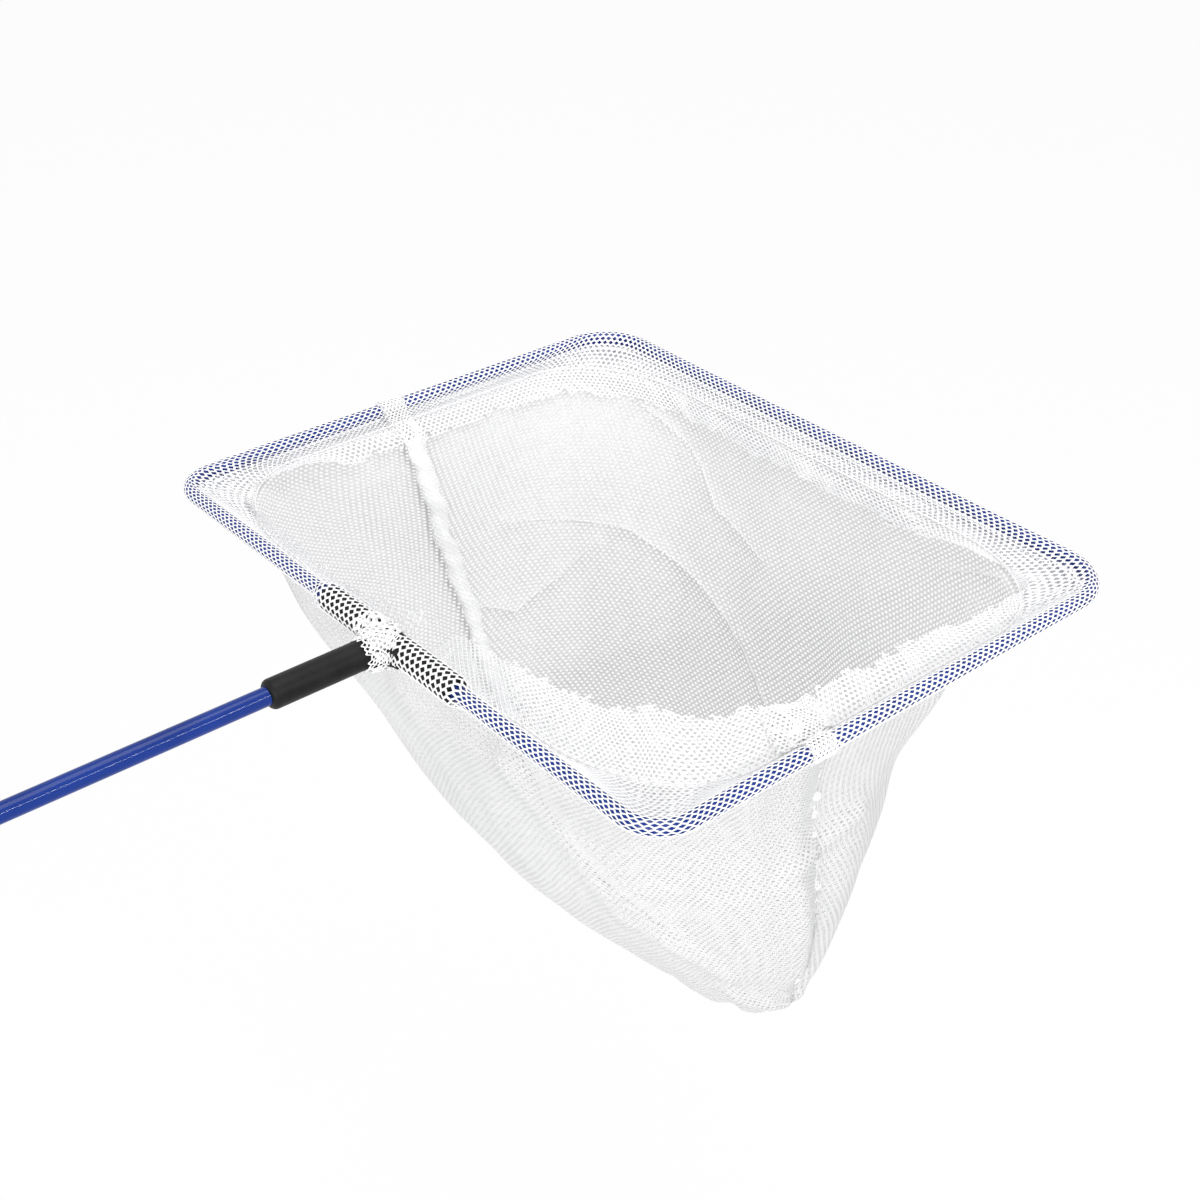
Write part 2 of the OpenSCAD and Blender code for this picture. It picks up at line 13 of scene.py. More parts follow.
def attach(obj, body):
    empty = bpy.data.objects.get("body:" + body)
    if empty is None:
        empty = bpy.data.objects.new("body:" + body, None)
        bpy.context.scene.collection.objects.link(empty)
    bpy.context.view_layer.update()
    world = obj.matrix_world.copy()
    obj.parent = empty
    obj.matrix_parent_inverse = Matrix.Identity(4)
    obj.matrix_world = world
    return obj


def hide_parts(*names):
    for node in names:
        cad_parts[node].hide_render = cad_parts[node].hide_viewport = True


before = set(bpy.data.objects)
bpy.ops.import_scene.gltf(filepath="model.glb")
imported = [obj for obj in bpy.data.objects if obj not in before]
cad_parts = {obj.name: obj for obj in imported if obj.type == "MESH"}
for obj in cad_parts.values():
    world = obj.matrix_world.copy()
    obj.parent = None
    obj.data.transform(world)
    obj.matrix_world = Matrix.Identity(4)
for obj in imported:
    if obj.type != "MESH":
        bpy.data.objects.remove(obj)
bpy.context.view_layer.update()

MM = 0.001
random = np.random.default_rng(20)

# The camera: its angles in degrees, its lens and sensor in millimetres
CAMERA_PLACE = (-0.0037, -0.3924, 0.3173)
CAMERA_HEADING = 49.05
CAMERA_TILT = 32.97
CAMERA_ROLL = 0.71
CAMERA_LENS, CAMERA_SENSOR = 55.07, 36
CAMERA_CLIP = 0.01


def make_camera():
    heading, tilt, roll = (math.radians(a) for a in (CAMERA_HEADING, CAMERA_TILT, CAMERA_ROLL))
    forward = Vector((math.cos(tilt)*math.cos(heading), math.cos(tilt)*math.sin(heading), -math.sin(tilt)))
    level = forward.cross(Vector((0, 0, 1))).normalized()
    over = level.cross(forward)
    right = level*math.cos(roll) + over*math.sin(roll)
    up = over*math.cos(roll) - level*math.sin(roll)
    data = bpy.data.cameras.new("camera")
    data.lens = CAMERA_LENS
    data.sensor_width = CAMERA_SENSOR
    data.clip_start = CAMERA_CLIP
    camera = bpy.data.objects.new("camera", data)
    bpy.context.collection.objects.link(camera)
    turn = Matrix((right, up, -forward)).transposed().to_4x4()
    camera.matrix_world = Matrix.Translation(CAMERA_PLACE) @ turn
    bpy.context.scene.camera = camera


make_camera()

# Sizes of part.scad
HOOP_LENGTH, HOOP_WIDTH, HOOP_OFFSET = 250, 201, 4
NEAR_CORNER_R, FAR_CORNER_R = 13, 19
REACH = 252
COATED_WIRE_R = 2.6
CROSSBAR_R, CROSSBAR_HALF = 4.5, 34
STEM_R = 4.8
BAG_DEPTH = 199
LEFT_SEAM_SHIFT, RIGHT_SEAM_SHIFT = 11, 39
STITCH_DEPTH = 2
HOOP_X = REACH + HOOP_WIDTH/2
FAR_X = REACH + HOOP_WIDTH
LEFT_Y, RIGHT_Y = HOOP_OFFSET + HOOP_LENGTH/2, HOOP_OFFSET - HOOP_LENGTH/2
MOUTH_INSET = 1.5
MOUTH_HALF_X, MOUTH_HALF_Y = HOOP_WIDTH/2 - MOUTH_INSET, HOOP_LENGTH/2 - MOUTH_INSET
WIRE_DROP, ARM_DROP = 3.98, 6.1
# The degrees from the handle's side where the drop at the tee's arms begins and ends to fade
ARM_FADE = (19, 27)
# The level at which the seams' shifts have faded out, and the power of their fading
SEAM_FADE_ROW, SEAM_FADE_POWER = 6, 1.4

# The depth of the tacked patch below each overlap
PATCH_DEPTH = 13
# The allowance past the stitch line. Where it hangs, it ends at a depth, a little above that of part.scad.
# Where it is level, it has a reach from the wire, a height and round corners. The bounds are degrees
# round the bag.
HEM_DEPTH = 11.5
FLANGE_REACH, FLANGE_Z = 24, -2.5
FLANGE_ROUND, FLANGE_NEAR_ROUND = 0.12, 0.78
FLANGE_LESS_LEFT, FLANGE_LESS_RIGHT = 11, 9
LEVEL_FROM, LEVEL_TO = (100, 128), (318, 342)
NEAR_ROUND_FROM, NEAR_ROUND_TO = (165, 205), (250, 290)
LESS_LEFT_TO, LESS_RIGHT_FROM = (160, 190), (296, 318)

# Each row is one level of the bag: its share of the depth, the reach toward the handle, the far side, the
# left and the right as shares of the half mouth, and its corners' roundness as a share of the level
BAG_ROWS = np.array([
    [0.000, 1.00, 1.00, 1.00, 1.00, 0.19],
    [0.010, 0.94, 0.94, 0.99, 0.95, 0.44],
    [0.050, 0.94, 0.93, 0.96, 0.92, 0.50],
    [0.120, 0.93, 0.91, 0.92, 0.87, 0.62],
    [0.280, 0.80, 0.82, 0.85, 0.80, 0.82],
    [0.450, 0.68, 0.74, 0.75, 0.79, 0.92],
    [0.620, 0.49, 0.65, 0.66, 0.74, 0.92],
    [0.800, 0.21, 0.52, 0.54, 0.65, 0.92],
    [0.930, 0.00, 0.41, 0.40, 0.54, 0.94],
    [0.980, -0.13, 0.36, 0.10, 0.43, 0.96],
    [1.000, -0.30, 0.30, -0.31, 0.31, 1.00]])
LAST_ROW = len(BAG_ROWS) - 1


def smooth(x, a, b):
    t = np.clip((np.asarray(x, float) - a)/(b - a), 0, 1)
    return t*t*(3 - 2*t)


def unit(v):
    return v/np.maximum(np.linalg.norm(v, axis=-1, keepdims=True), 1e-9)


# The bag's surface, by an angle round it in degrees and a level in rows of the table
def bag_row(level):
    """The table's row at a level, on a smooth curve through its rows"""
    k = np.minimum(np.floor(level).astype(int), LAST_ROW - 1)
    f = (level - k)[..., None]
    a, b, c, d = (BAG_ROWS[np.clip(k + i, 0, LAST_ROW)] for i in (-1, 0, 1, 2))
    return b + 0.5*f*((c - a) + f*((2*a - 5*b + 4*c - d) + f*(3*(b - c) + d - a)))


def seam_turn(shift, level):
    """The turn, in degrees, that moves a seam sideways at the mouth"""
    fade = np.maximum(0, 1 - level/SEAM_FADE_ROW)**SEAM_FADE_POWER
    return np.degrees(np.arctan(shift/MOUTH_HALF_X))*fade


def near_axis(angle, axis):
    return np.maximum(0, 1 - np.abs((angle - axis + 540) % 360 - 180)/45)


def rounded_square(angle, level, round_share):
    """A point of the unit square with rounded corners, on the ray of a place round the bag"""
    turned = np.radians(angle + seam_turn(LEFT_SEAM_SHIFT, level)*near_axis(angle, 90)
                        - seam_turn(RIGHT_SEAM_SHIFT, level)*near_axis(angle, 270))
    c, s = np.cos(turned), np.sin(turned)
    long, short = np.maximum(abs(c), abs(s)), np.minimum(abs(c), abs(s))
    k = 1 - round_share
    sum_in = k*(long + short)
    on_corner = sum_in + np.sqrt(np.maximum(0, sum_in**2 - 2*k*k + round_share**2))
    r = np.where(short <= k*long, 1/long, on_corner)
    return r*c, r*s


def plain_point(angle, level):
    row = bag_row(level)
    across, along = rounded_square(angle, level, row[..., 5])
    handle_side, far_side = -row[..., 1]*MOUTH_HALF_X, row[..., 2]*MOUTH_HALF_X
    left, right = row[..., 3]*MOUTH_HALF_Y, -row[..., 4]*MOUTH_HALF_Y
    drop = WIRE_DROP + (ARM_DROP - WIRE_DROP)*(1 - smooth(abs(angle % 360 - 180), *ARM_FADE))
    return np.stack([HOOP_X + (far_side + handle_side)/2 + (far_side - handle_side)/2*across,
                     HOOP_OFFSET + (left + right)/2 + (left - right)/2*along,
                     -drop - (BAG_DEPTH - drop)*row[..., 0]], -1)


def inward(angle, level):
    """The surface's direction into the bag"""
    round_step = plain_point(angle + 2, level) - plain_point(angle - 2, level)
    below, above = np.minimum(LAST_ROW, level + 0.05), np.maximum(0, level - 0.05)
    normal = np.cross(round_step, plain_point(angle, below) - plain_point(angle, above))
    normal[level > LAST_ROW - 0.1] = (0, 0, 1)
    return unit(normal)


def level_of(depth):
    return np.interp(np.asarray(depth, float)/BAG_DEPTH, BAG_ROWS[:, 0], np.arange(LAST_ROW + 1))


def layer_point(angle, level, inset=0.0):
    """A point of the bag, moved inward by an inset"""
    angle, level = np.broadcast_arrays(np.asarray(angle, float), np.asarray(level, float))
    lift = np.asarray(inset, float)[..., None] if np.ndim(inset) else inset
    return plain_point(angle, level) + lift*inward(angle, level)


def level_share(angle):
    """1 where the allowance sticks out level into the mouth, 0 where it hangs along the wall"""
    return smooth(angle % 360, *LEVEL_FROM)*(1 - smooth(angle % 360, *LEVEL_TO))


def flange_point(angle):
    """Cut edge of the allowance where it is level, roundest at the near corner, at 225"""
    near = smooth(angle % 360, *NEAR_ROUND_FROM)*(1 - smooth(angle % 360, *NEAR_ROUND_TO))
    across, along = rounded_square(angle, 1.0, FLANGE_ROUND + (FLANGE_NEAR_ROUND - FLANGE_ROUND)*near)
    reach = (FLANGE_REACH - FLANGE_LESS_LEFT*(1 - smooth(angle % 360, *LESS_LEFT_TO))
             - FLANGE_LESS_RIGHT*smooth(angle % 360, *LESS_RIGHT_FROM))
    return np.stack([HOOP_X + (HOOP_WIDTH/2 - reach)*across,
                     HOOP_OFFSET + (HOOP_LENGTH/2 - reach)*along,
                     np.full_like(across, FLANGE_Z)], -1)


# Cloth as a table of points
class Cloth:
    """Rows of points with their flat places: a row's points share v, and u runs along the row"""

    def __init__(self, points, u, v):
        self.u = np.broadcast_to(u, points.shape[:2])
        self.v = v
        across = np.gradient(points, axis=1)
        down = np.gradient(points, axis=0)
        self.table = np.concatenate([points, unit(np.cross(across, down))], axis=2)

    def edges(self, v):
        """The first and the last u at v"""
        return np.interp(v, self.v, self.u[:, 0]), np.interp(v, self.v, self.u[:, -1])

    def at(self, u, v):
        """The points and the normals at flat places"""
        row = np.interp(v, self.v, np.arange(len(self.v)))
        low = np.minimum(row.astype(int), len(self.v) - 2)
        out = np.empty((len(u), 6))
        for k in np.unique(low):
            pick = low == k
            share = (row[pick] - k)[:, None]
            ends = [np.stack([np.interp(u[pick], self.u[r], self.table[r, :, i]) for i in range(6)], 1)
                    for r in (k, k + 1)]
            out[pick] = ends[0]*(1 - share) + ends[1]*share
        return out[:, :3], unit(out[:, 3:])


def path_lengths(points, axis):
    steps = np.linalg.norm(np.diff(points, axis=axis), axis=-1)
    return np.concatenate([np.zeros_like(steps.take([0], axis)), np.cumsum(steps, axis)], axis)


# Hexagonal netting: a cell's width and the step between rows, the length of a cell's upright side, and a
# thread's width and how far its ridge stands above its edges
WALE, COURSE = 2.4, 1.35
PILLAR = 0.5
THREAD, THREAD_RISE = 0.58, 0.24
PANEL_THREAD, PANEL_RISE = 0.86, 0.18
HEM_WALE, HEM_COURSE = 2.6, 1.2
BAND_THREAD = 0.72
# How near to the cloth's side a cell's middle may lie, as a share of its width
CELL_MARGIN = 0.2


def netting(cloth, v_from, v_to, wale=WALE, course=COURSE, thread=THREAD, rise=THREAD_RISE, lift=0.0,
            shift=(0.0, 0.0), keep=None):
    """Threads of a hexagonal net over the cloth

    Gives the points, the quads, the triangles, and the flat width, length and area.
    """
    half, reach = wale/2, course - PILLAR/2
    slope = (reach - PILLAR/2)/half
    hole_x = half - thread/2
    hole_y = PILLAR/2 + slope*thread/2 - thread/2*math.hypot(1, slope)
    hole_top = reach - thread/2*math.hypot(1, slope)
    u_low, u_high = float(cloth.u.min()), float(cloth.u.max())
    cols = np.arange(math.floor(u_low/wale) - 2, math.ceil(u_high/wale) + 3)
    rows = np.arange(math.floor(v_from/course) - 1, math.ceil(v_to/course) + 2)
    ci, rj = np.meshgrid(cols, rows, indexing="ij")
    u0 = (ci + 0.5*(rj & 1))*wale + shift[0]
    v0 = rj*course + shift[1]
    corners = [(-half, -PILLAR/2, 1), (-half, PILLAR/2, 1), (0, hole_top, 0), (-hole_x, hole_y, 0),
               (-hole_x, -hole_y, 0), (0, -hole_top, 0), (hole_x, -hole_y, 0), (hole_x, hole_y, 0)]
    flat_u = np.stack([u0 + c[0] for c in corners], -1)
    flat_v = np.stack([v0 + c[1] for c in corners], -1)
    low, high = cloth.edges(v0)
    kept = (u0 > low + CELL_MARGIN*wale) & (u0 < high - CELL_MARGIN*wale) & (v0 >= v_from) & (v0 < v_to)
    if keep is not None:
        kept &= keep(u0, v0)
    kept[:2] = kept[-2:] = False
    kept[:, :1] = kept[:, -1:] = False
    index = np.arange(ci.size).reshape(ci.shape)*len(corners)
    cell_i, cell_j = np.nonzero(kept)
    parity = rj[cell_i, cell_j] & 1
    here, left, right = (index[cell_i + d, cell_j] for d in (0, -1, 1))
    up_left = index[cell_i - 1 + parity, cell_j + 1]
    up_right = index[cell_i + parity, cell_j + 1]
    # A cell's corners: two of the ridge, then the hole's six, named by up, low, left and right
    RIDGE_1, RIDGE_2, TOP, UL, LL, BOTTOM, LR, UR = range(len(corners))
    threads = [
        ((here + RIDGE_1, here + RIDGE_2), (here + LL, here + UL), (left + LR, left + UR)),
        ((here + RIDGE_2, up_right + RIDGE_1), (here + UL, here + TOP), (up_left + BOTTOM, up_left + LR)),
        ((right + RIDGE_2, up_right + RIDGE_1), (up_right + BOTTOM, up_right + LL),
         (here + UR, here + TOP))]
    quads = []
    for (p, q), (right_p, right_q), (left_p, left_q) in threads:
        quads += [(p, right_p, right_q, q), (q, left_q, left_p, p), (right_p, left_p, left_q, right_q)]
    quads = np.concatenate([np.stack(q, 1) for q in quads])
    triangles = np.concatenate([np.stack([up_left + BOTTOM, here + UL, left + UR], 1),
                                np.stack([up_left + LR, up_right + LL, here + TOP], 1)])
    used = np.unique(np.concatenate([quads.ravel(), triangles.ravel()]))
    place = np.zeros(index.size*len(corners), int)
    place[used] = np.arange(len(used))
    point, normal = cloth.at(flat_u.ravel()[used], flat_v.ravel()[used])
    height = np.array([c[2] for c in corners])[used % len(corners)]*rise + lift
    point = point + normal*height[:, None]
    flat = (float(np.ptp(u0[kept])) + wale, float(np.ptp(v0[kept])) + course, wale*course*len(cell_i))
    return point, place[quads], place[triangles], flat


def joined(parts):
    """Several nets as one, which is as wide as the widest and as long as all in a row"""
    points, quads, triangles, area, start = [], [], [], 0.0, 0
    for point, quad, triangle, flat in parts:
        points.append(point)
        quads.append(quad + start)
        triangles.append(triangle + start)
        area += flat[2]
        start += len(point)
    width, length = max(p[3][0] for p in parts), sum(p[3][1] for p in parts)
    return np.concatenate(points), np.concatenate(quads), np.concatenate(triangles), (width, length, area)


def mesh_piece(name, points, quads, triangles, material, smooth_faces=True):
    """A piece on the root body, from points in millimetres"""
    mesh = bpy.data.meshes.new(name)
    mesh.vertices.add(len(points))
    mesh.vertices.foreach_set("co", (points*MM).astype(np.float32).ravel())
    loops = np.concatenate([quads.ravel(), triangles.ravel()]).astype(np.int32)
    mesh.loops.add(len(loops))
    mesh.loops.foreach_set("vertex_index", loops)
    sizes = np.concatenate([np.full(len(quads), 4), np.full(len(triangles), 3)])
    mesh.polygons.add(len(sizes))
    mesh.polygons.foreach_set("loop_start", np.concatenate([[0], np.cumsum(sizes)[:-1]]).astype(np.int32))
    mesh.polygons.foreach_set("use_smooth", np.full(len(sizes), smooth_faces))
    mesh.update(calc_edges=True)
    mesh.validate()
    mesh.materials.append(material)
    piece = bpy.data.objects.new(name, mesh)
    bpy.context.collection.objects.link(piece)
    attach(piece, "root")
    return piece


def net_piece(name, parts, material, nodes):
    """A sheet of netting in the place of the CAD nodes"""
    points, quads, triangles, (width, length, area) = joined(parts)
    piece = mesh_piece(name, points, quads, triangles, material, smooth_faces=False)
    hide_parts(*nodes)
    width = max(width, area/length)


# Materials
COLOUR_DETAIL, BUMP_DETAIL = 4.0, 3.0
RAMP_LOW, RAMP_HIGH = 0.35, 0.65


def node_material(name):
    material = bpy.data.materials.new(name)
    material.use_nodes = True
    tree = material.node_tree
    shader = tree.nodes["Principled BSDF"]
    return material, tree, shader


def varied_colour(tree, shader, low, high, scale):
    """Base colour that drifts between two tones in object space"""
    place = tree.nodes.new("ShaderNodeTexCoord")
    noise = tree.nodes.new("ShaderNodeTexNoise")
    noise.inputs["Scale"].default_value = scale
    noise.inputs["Detail"].default_value = COLOUR_DETAIL
    ramp = tree.nodes.new("ShaderNodeValToRGB")
    ramp.color_ramp.elements[0].position = RAMP_LOW
    ramp.color_ramp.elements[1].position = RAMP_HIGH
    ramp.color_ramp.elements[0].color = (*low, 1)
    ramp.color_ramp.elements[1].color = (*high, 1)
    tree.links.new(place.outputs["Object"], noise.inputs["Vector"])
    tree.links.new(noise.outputs["Fac"], ramp.inputs["Fac"])
    tree.links.new(ramp.outputs["Color"], shader.inputs["Base Color"])
    return place


def noise_bump(tree, shader, place, scale, distance, strength):
    noise = tree.nodes.new("ShaderNodeTexNoise")
    noise.inputs["Scale"].default_value = scale
    noise.inputs["Detail"].default_value = BUMP_DETAIL
    bump = tree.nodes.new("ShaderNodeBump")
    bump.inputs["Distance"].default_value = distance
    bump.inputs["Strength"].default_value = strength
    tree.links.new(place.outputs["Object"], noise.inputs["Vector"])
    tree.links.new(noise.outputs["Fac"], bump.inputs["Height"])
    tree.links.new(bump.outputs["Normal"], shader.inputs["Normal"])
    return noise


def varied_roughness(tree, shader, noise, low, high):
    span = tree.nodes.new("ShaderNodeMapRange")
    span.inputs["To Min"].default_value = low
    span.inputs["To Max"].default_value = high
    tree.links.new(noise.outputs["Fac"], span.inputs["Value"])
    tree.links.new(span.outputs["Result"], shader.inputs["Roughness"])


def blue_coating():
    material, tree, shader = node_material("blue_coating")
    place = varied_colour(tree, shader, (0.003, 0.026, 0.2), (0.004, 0.034, 0.25), 60)
    noise = noise_bump(tree, shader, place, 700, 0.0001, 0.02)
    varied_roughness(tree, shader, noise, 0.05, 0.10)
    shader.inputs["Specular IOR Level"].default_value = 0.24
    return material


def black_rubber(name, low, high):
    material, tree, shader = node_material(name)
    place = varied_colour(tree, shader, (low,)*3, (high,)*3, 250)
    noise = noise_bump(tree, shader, place, 2600, 0.0002, 0.25)
    varied_roughness(tree, shader, noise, 0.40, 0.56)
    shader.inputs["Specular IOR Level"].default_value = 0.2
    return material


def steel():
    material, tree, shader = node_material("steel")
    place = varied_colour(tree, shader, (0.52, 0.53, 0.55), (0.66, 0.67, 0.69), 400)
    noise = noise_bump(tree, shader, place, 4000, 0.0001, 0.2)
    varied_roughness(tree, shader, noise, 0.25, 0.42)
    shader.inputs["Metallic"].default_value = 1.0
    return material


def white_thread(name, low, high):
    material, tree, shader = node_material(name)
    place = varied_colour(tree, shader, low, high, 180)
    noise = noise_bump(tree, shader, place, 9000, 0.00008, 0.5)
    varied_roughness(tree, shader, noise, 0.42, 0.62)
    shader.inputs["Sheen Weight"].default_value = 0.15
    shader.inputs["Sheen Roughness"].default_value = 0.4
    return material


BLUE = blue_coating()
BLACK_TEE = black_rubber("black_tee", 0.004, 0.008)
BLACK_CAP = black_rubber("black_cap", 0.005, 0.010)
STEEL = steel()
# The bag's panels take a greyer copy of the same white netting as the hem: painted shade for the dimmer
# light inside the bag.
SHADED_NET_WHITE = white_thread("net_white_painted_shade", (0.73, 0.73, 0.735), (0.765, 0.765, 0.77))
HEM_WHITE = white_thread("hem_white", (0.9, 0.9, 0.91), (0.93, 0.93, 0.94))
# The whitest copy: the sewing thread's own white on the stitches, and a painted highlight on the netting of
# the seams, overlaps, gather and pressed folds, which is the same net as the hem.
SEWING_AND_HIGHLIGHT_WHITE = white_thread("sewing_and_highlight_white", (0.96, 0.96, 0.965), (0.98, 0.98, 0.98))

NODE_MATERIALS = {"handle_core": STEEL, "hoop_core": STEEL, "handle_coating": BLUE, "hoop_coating": BLUE,
                  "tee_connector": BLACK_TEE, "end_cap": BLACK_CAP}
for node_name, node_material_used in NODE_MATERIALS.items():
    for node_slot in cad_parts[node_name].material_slots:
        node_slot.material = node_material_used

# The bag's two panels: the steps of their tables in degrees and in levels, the gap between them, and the
# depths along the cloth at which each is cut into pieces
PANEL_STEP = 1.0
LEVEL_STEP = 0.05
SEAM_GAP = 0.3
FIRST_CUT, SECOND_CUT = 60, 125

# Creases: the angle and level of their corners, then their height inward and half width
CREASES = (
    (((71, 3.9), (40, 4.0), (21, 4.4), (10, 4.8)), 1.2, 3.0),
    (((48, 4.2), (60, 4.6), (74, 4.9), (86, 4.7)), 1.0, 3.0),
    (((45, 1.6), (33, 2.6), (21, 3.5), (5, 3.8)), 0.8, 3.5),
    (((10, 4.8), (355, 5.6), (350, 6.6)), 0.9, 4.0),
    (((328, 2.6), (322, 1.8), (318, 1.3)), 1.0, 4.0),
    (((310, 2.8), (304, 2.0), (298, 1.5)), 0.8, 4.0),
    (((225, 5.6), (230, 6.0), (236, 6.4)), -2.5, 5.0),
    (((234, 6.9), (250, 7.2), (272, 7.5)), -3.0, 5.0),
    (((283, 4.3), (261, 4.6), (265, 5.6), (267, 6.6)), -2.5, 4.5),
    (((205, 2.6), (209, 4.0), (216, 5.4)), -1.8, 6.0),
    (((240, 1.6), (241, 3.0), (246, 4.6)), 2.0, 6.0),
    (((296, 3.0), (300, 4.6), (308, 6.0)), -2.0, 6.0))
# Long folds down the bag: waves round it, their height and their turn
FOLDS = ((11, 0.6, 0.4), (17, 0.4, 2.1), (26, 0.25, 4.0))


def crease_distance(points, corners):
    """How far each point is from the crease's line"""
    line = layer_point(*np.array(corners, float).T)
    nearest = np.full(points.shape[:2], np.inf)
    for a, b in zip(line[:-1], line[1:]):
        share = np.clip(((points - a)@(b - a))/((b - a)@(b - a)), 0, 1)
        nearest = np.minimum(nearest, np.linalg.norm(points - a - share[..., None]*(b - a), axis=-1))
    return nearest


def bag_relief(angles, levels, points):
    """How far the creases and folds lift the cloth inward"""
    lift = np.zeros(points.shape[:2])
    for corners, height, half_width in CREASES:
        lift += height*np.exp(-(crease_distance(points, corners)/half_width)**2)
    for waves, height, turn in FOLDS:
        lift += height*np.sin(np.radians(waves*angles) + turn + 0.5*np.sin(0.9*levels + turn))
    return lift*smooth(levels, 0.8, 2.2)*(1 - 0.7*smooth(levels, LAST_ROW - 1.5, LAST_ROW))


def panel_cloth(first, last, middle, move):
    angles = np.arange(first, last + 0.5*PANEL_STEP, PANEL_STEP)[None, :]
    levels = np.arange(0, LAST_ROW + 0.5*LEVEL_STEP, LEVEL_STEP)[:, None]
    smooth_points = layer_point(angles, levels)
    points = layer_point(angles, levels, bag_relief(angles, levels, smooth_points)) + np.array([move, 0, 0])
    round_length = path_lengths(points, 1)
    u = round_length - round_length[:, [int(round((middle - first)/PANEL_STEP))]]
    v = path_lengths(points, 0).mean(1)
    return Cloth(points, u, v)


def panel_pieces(name, node, cloth):
    bands = (0, FIRST_CUT, SECOND_CUT, cloth.v[-1])
    for k in range(len(bands) - 1):
        part = netting(cloth, bands[k], bands[k + 1], thread=PANEL_THREAD, rise=PANEL_RISE)
        net_piece(f"{name}_{k + 1}", [part], SHADED_NET_WHITE, [node])


panel_pieces("net_handle_side", "bag_handle_side", panel_cloth(90, 270, 180, -SEAM_GAP/2))
panel_pieces("net_far_side", "bag_far_side", panel_cloth(-90, 90, 0, SEAM_GAP/2))

# Sharp folds pressed into the net inside, as a pinched pleat along a crease: its section across and inward
PLEAT = ((-0.5, -0.2), (-0.25, 0.8), (0.0, 1.1), (0.25, 0.8), (0.5, -0.2))
PLEAT_STEPS = 160
PRESSED = CREASES[:6]


def pleat_part(corners):
    """The netting of a pleat that thins out toward both ends of its crease"""
    angles, levels = np.array(corners, float).T
    places = np.linspace(0, 1, len(corners))
    share = np.linspace(0, 1, PLEAT_STEPS)
    angles = np.interp(share, places, np.degrees(np.unwrap(np.radians(angles))))
    levels = np.interp(share, places, levels)
    lift = bag_relief(angles[None], levels[None], layer_point(angles[None], levels[None]))[0]
    base, normal = layer_point(angles, levels, lift), inward(angles, levels)
    across = unit(np.cross(np.gradient(base, axis=0), normal))
    size = (np.sin(np.pi*share)**0.4)[:, None]
    points = np.stack([base + size*(side*across + height*normal) for side, height in PLEAT])
    cloth = Cloth(points, path_lengths(points, 1), path_lengths(points, 0).mean(1))
    return netting(cloth, 0, cloth.v[-1], wale=1.6, course=0.8, thread=0.5, rise=0.1)


# The pleats take the whitest thread material, a painted highlight along the creases.
net_piece("pressed_folds", [pleat_part(crease[0]) for crease in PRESSED], SEWING_AND_HIGHLIGHT_WHITE,
          ["bag_far_side"])

# The hem round the wire
WIRE_NET_R = COATED_WIRE_R + 0.12
ARM_NET_R = CROSSBAR_R + 0.2
ARM_SHOULDER = 5
SLIT = STEM_R + 0.4


def wire_foot(xy):
    """The nearest points of the hoop wire's centre line, and the level directions from there inward"""
    x, y = xy[..., 0], xy[..., 1]
    sides = np.stack([x - REACH, FAR_X - x, LEFT_Y - y, y - RIGHT_Y], -1)
    nearest = sides.argmin(-1)
    foot = np.stack([np.choose(nearest, [np.full_like(x, REACH), np.full_like(x, FAR_X), x, x]),
                     np.choose(nearest, [y, y, np.full_like(y, LEFT_Y), np.full_like(y, RIGHT_Y)])], -1)
    into = np.array([[1.0, 0], [-1, 0], [0, -1], [0, 1]])[nearest]
    for corner_x, corner_y, out_x, out_y, r in (
            (REACH + NEAR_CORNER_R, LEFT_Y - NEAR_CORNER_R, -1, 1, NEAR_CORNER_R),
            (REACH + NEAR_CORNER_R, RIGHT_Y + NEAR_CORNER_R, -1, -1, NEAR_CORNER_R),
            (FAR_X - FAR_CORNER_R, LEFT_Y - FAR_CORNER_R, 1, 1, FAR_CORNER_R),
            (FAR_X - FAR_CORNER_R, RIGHT_Y + FAR_CORNER_R, 1, -1, FAR_CORNER_R)):
        inside = ((x - corner_x)*out_x > 0) & ((y - corner_y)*out_y > 0)
        out = unit(np.stack([x - corner_x, y - corner_y], -1))
        foot = np.where(inside[..., None], np.array([corner_x, corner_y]) + r*out, foot)
        into = np.where(inside[..., None], -out, into)
    return foot, into


def wire_net_r(foot):
    """The net's distance from the wire's centre line, larger on the tee's arms"""
    near_tee = 1 - smooth(abs(foot[..., 1]), CROSSBAR_HALF, CROSSBAR_HALF + ARM_SHOULDER)
    on_arm = (foot[..., 0] < REACH + 1)*near_tee
    return WIRE_NET_R + (ARM_NET_R - WIRE_NET_R)*on_arm


def tangent_angle(p, z, r, side):
    """Where a straight line from p, z touches the circle round the wire"""
    return np.arctan2(z, p) + side*np.arccos(np.clip(r/np.hypot(p, z), -1, 1))


# Steps of the hem round the wire, from there to the stitches, and from there to the cut edge
ARC_STEPS = 16
WEB_STEPS = 8
BAND_STEPS = 18
# How far the stitches and the hanging allowance stand off the wall, and how far the net sags before them
STITCH_INSET, BAND_INSET = 0.55, 1.5
WEB_SAG = 0.5


